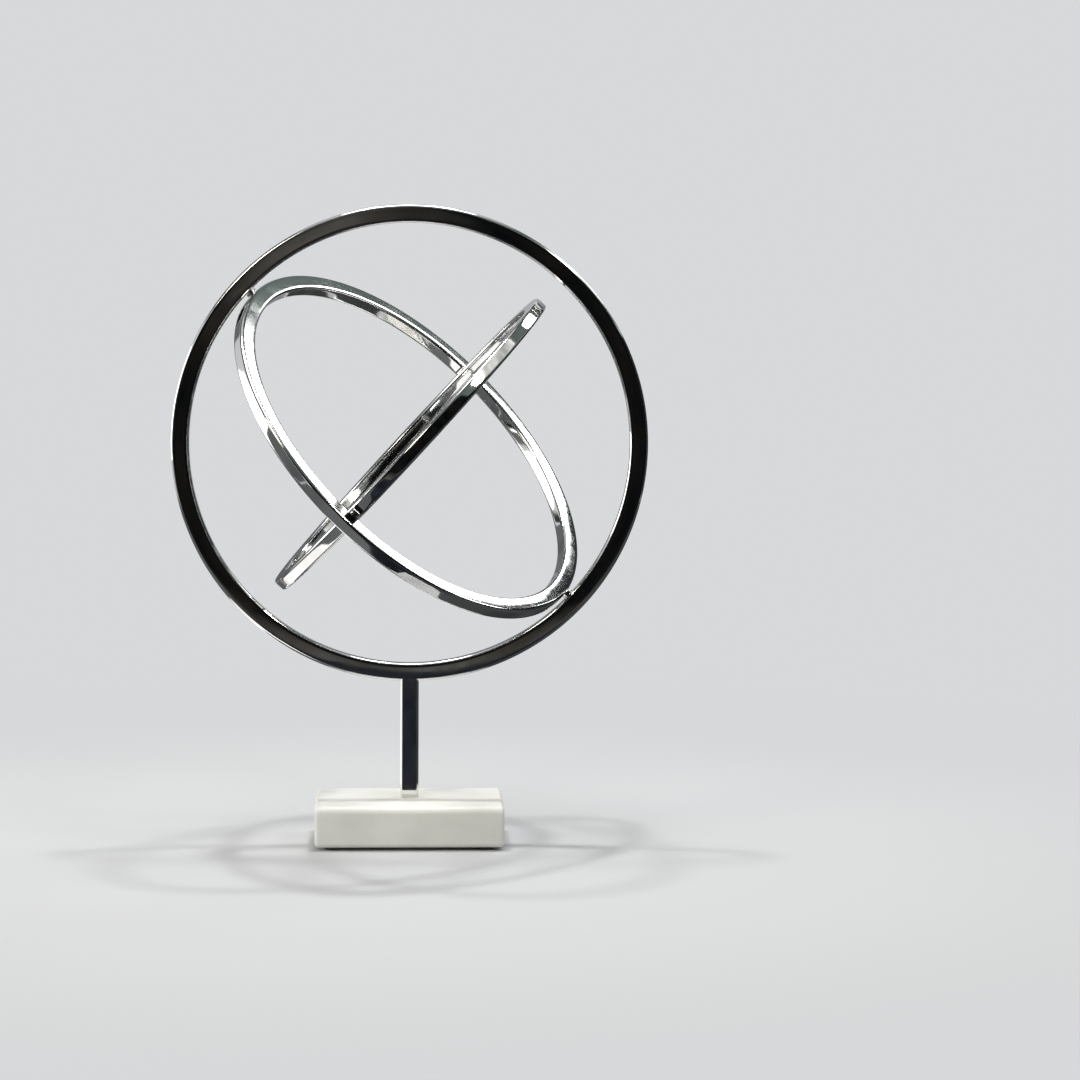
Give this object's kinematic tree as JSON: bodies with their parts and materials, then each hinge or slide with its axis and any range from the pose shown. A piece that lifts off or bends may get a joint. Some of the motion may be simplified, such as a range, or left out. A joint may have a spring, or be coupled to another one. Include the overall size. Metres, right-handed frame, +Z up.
{
  "type": "armillary sphere",
  "caption": "Three nested polished bar rings that turn inside one another on pivots, held by a square post on a rectangular stone base.",
  "frame": {"origin": "centre of the resting surface under the stone base, below the post", "axes": "+Z up along the post, X along the base's length and in the outer ring's plane, -Y towards the front"},
  "size_m": [0.3798, 0.314, 0.5093],
  "materials": {
    "polished_metal": "mirror polished",
    "marble": "honed white marble with faint grey veins",
    "steel": "zinc plated",
    "felt": "grey wool felt"
  },
  "bodies": {
    "stand": {"marble_base": "marble", "foot_pad_front_left": "felt", "foot_pad_front_right": "felt", "foot_pad_rear_left": "felt", "foot_pad_rear_right": "felt", "base_bolt": "steel", "flat_washer": "steel", "lock_washer": "steel", "post": "polished_metal", "ring_stud": "steel", "outer_ring": "polished_metal", "outer_pivot_upper_pin": "polished_metal", "outer_pivot_lower_pin": "polished_metal", "outer_pivot_upper_spacer": "polished_metal", "outer_pivot_lower_spacer": "polished_metal"},
    "middle_ring": {"middle_ring": "polished_metal", "inner_pivot_near_pin": "polished_metal", "inner_pivot_far_pin": "polished_metal", "inner_pivot_near_spacer": "polished_metal", "inner_pivot_far_spacer": "polished_metal"},
    "inner_ring": {"inner_ring": "polished_metal"}
  },
  "joints": [
    {"name": "middle_ring_pivot", "type": "hinge", "parent": "stand", "child": "middle_ring", "pos_m": [0, 0, 0.3194], "axis": [-0.7254, 0, 0.6884], "continuous": true},
    {"name": "inner_ring_pivot", "type": "hinge", "parent": "middle_ring", "child": "inner_ring", "pos_m": [0, 0, 0.3194], "axis": [-0.2963, -0.9026, -0.3123], "continuous": true}
  ]
}
